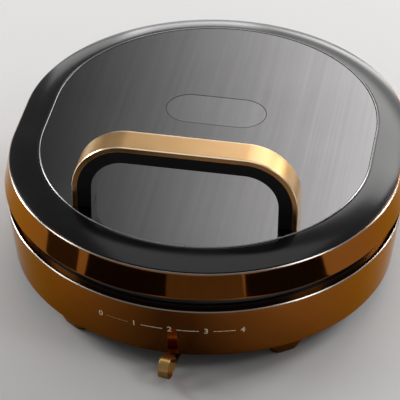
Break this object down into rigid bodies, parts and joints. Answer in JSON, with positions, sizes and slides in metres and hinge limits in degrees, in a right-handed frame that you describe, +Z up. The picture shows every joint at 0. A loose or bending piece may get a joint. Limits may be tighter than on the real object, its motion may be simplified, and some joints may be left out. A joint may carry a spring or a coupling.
{
  "type": "electric pancake maker",
  "caption": "Electric double-plate pancake cooker with a floating hinged lid, an arched handle, a deep round plate and a front lever that sets the heat.",
  "frame": {"origin": "On the table plane, midway between the front of the lever's knob and the back of the hinge housing, on the middle plane.", "axes": "X to the user's right, Y from the front lever towards the hinge at the back, Z up."},
  "size_m": [0.348, 0.436, 0.1765],
  "materials": {
    "bronze_mirror_metal": "polished bronze-gold sheet metal, mirror gloss",
    "satin_gold_metal": "satin gold strap with bright bevelled edges",
    "bright_trim_metal": "thin bright ring",
    "brushed_panel_metal": "dark grey brushed metal under a clear gloss coat",
    "brushed_badge_metal": "dark brushed metal inlay, bare",
    "black_moulding": "black moulded plastic, semi-matte",
    "black_gloss_moulding": "black moulded plastic, high gloss",
    "black_rubber": "matt black rubber",
    "coated_cast_plate": "die-cast plate with black non-stick coating",
    "dark_steel": "steel sheath darkened by heat",
    "sheet_steel": "bright pressed sheet metal",
    "white_ceramic": "unglazed white ceramic",
    "white_moulding": "white heat-resistant moulding",
    "brass": "turned brass",
    "plated_steel": "zinc-plated steel",
    "black_painted_metal": "black painted metal"
  },
  "bodies": {
    "base": {"base_shell": "bronze_mirror_metal", "base_collar": "black_moulding", "collar_screws": "plated_steel", "bottom_cover": "black_moulding", "foot_posts": "bronze_mirror_metal", "rubber_feet": "black_rubber", "cover_screws": "plated_steel", "lower_pan": "coated_cast_plate", "tie_screws": "plated_steel", "lower_heating_tube": "dark_steel", "lower_heat_shield": "sheet_steel", "thermostat": "white_ceramic", "thermal_fuse": "white_ceramic", "fuse_clip": "sheet_steel", "terminal_block": "white_moulding", "terminal_inserts": "brass", "power_inlet": "black_moulding", "inlet_pins": "plated_steel", "hinge_housing": "black_moulding", "hinge_screws": "plated_steel"},
    "lever": {"thermostat_spindle": "plated_steel", "spindle_nut": "plated_steel", "lever_arm": "plated_steel", "lever_knob": "bronze_mirror_metal", "lever_rivets": "plated_steel"},
    "hinge_carriage": {"hinge_shaft": "plated_steel", "shaft_washers": "plated_steel", "shaft_clips": "plated_steel"},
    "lid": {"lid_collar": "black_moulding", "lid_band": "bronze_mirror_metal", "lid_rim": "black_gloss_moulding", "panel_trim": "bright_trim_metal", "lid_panel": "brushed_panel_metal", "badge_plate": "brushed_badge_metal", "panel_backing": "black_moulding", "handle_core": "black_moulding", "handle_strap": "satin_gold_metal", "handle_screws": "plated_steel", "upper_pan": "coated_cast_plate", "pan_brackets": "sheet_steel", "bracket_screws": "plated_steel", "shield_screws": "plated_steel", "upper_heating_tube": "dark_steel", "upper_heat_shield": "sheet_steel", "upper_cutout": "white_ceramic", "lid_hinge_arms": "black_painted_metal", "arm_screws": "plated_steel", "lid_screws": "plated_steel"}
  },
  "joints": [
    {"name": "lever_turn", "type": "hinge", "parent": "base", "child": "lever", "pos_m": [0, 0, 0.0227], "axis": [0, 0, 1], "range_deg": [-18, 18]},
    {"name": "hinge_float", "type": "slide", "parent": "base", "child": "hinge_carriage", "axis": [0, 0, 1], "range_m": [0, 0.01]},
    {"name": "lid_open", "type": "hinge", "parent": "hinge_carriage", "child": "lid", "pos_m": [0, 0.20601, 0.06], "axis": [-1, 0, 0], "range_deg": [0, 100]}
  ]
}
